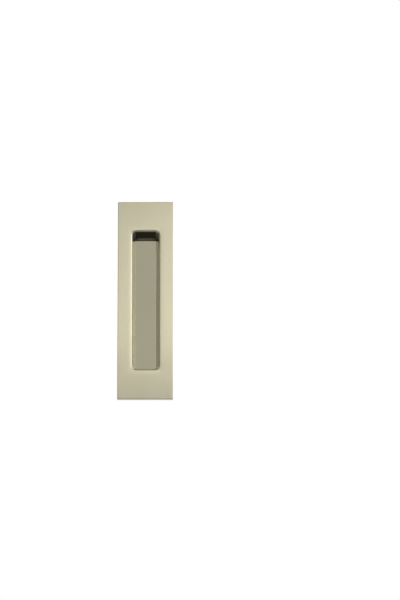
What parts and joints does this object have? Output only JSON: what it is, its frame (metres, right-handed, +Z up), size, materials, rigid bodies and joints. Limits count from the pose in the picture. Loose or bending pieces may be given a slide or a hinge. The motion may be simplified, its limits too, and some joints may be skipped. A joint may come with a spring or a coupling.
{
  "type": "flush pull",
  "caption": "Rectangular flush pull for a sliding door: a flat satin plate with a long, round-lipped finger recess, and a drafted cup behind that presses into the door.",
  "frame": {"origin": "centre of the plate's seat, on the door's face", "axes": "+Z up the door, +X to the right as the user faces the pull, +Y into the door"},
  "size_m": [0.04, 0.013, 0.15],
  "materials": {
    "satin_nickel": "satin nickel plate on a zinc die casting"
  },
  "bodies": {
    "root": {"pull_body": "satin_nickel"}
  },
  "joints": []
}
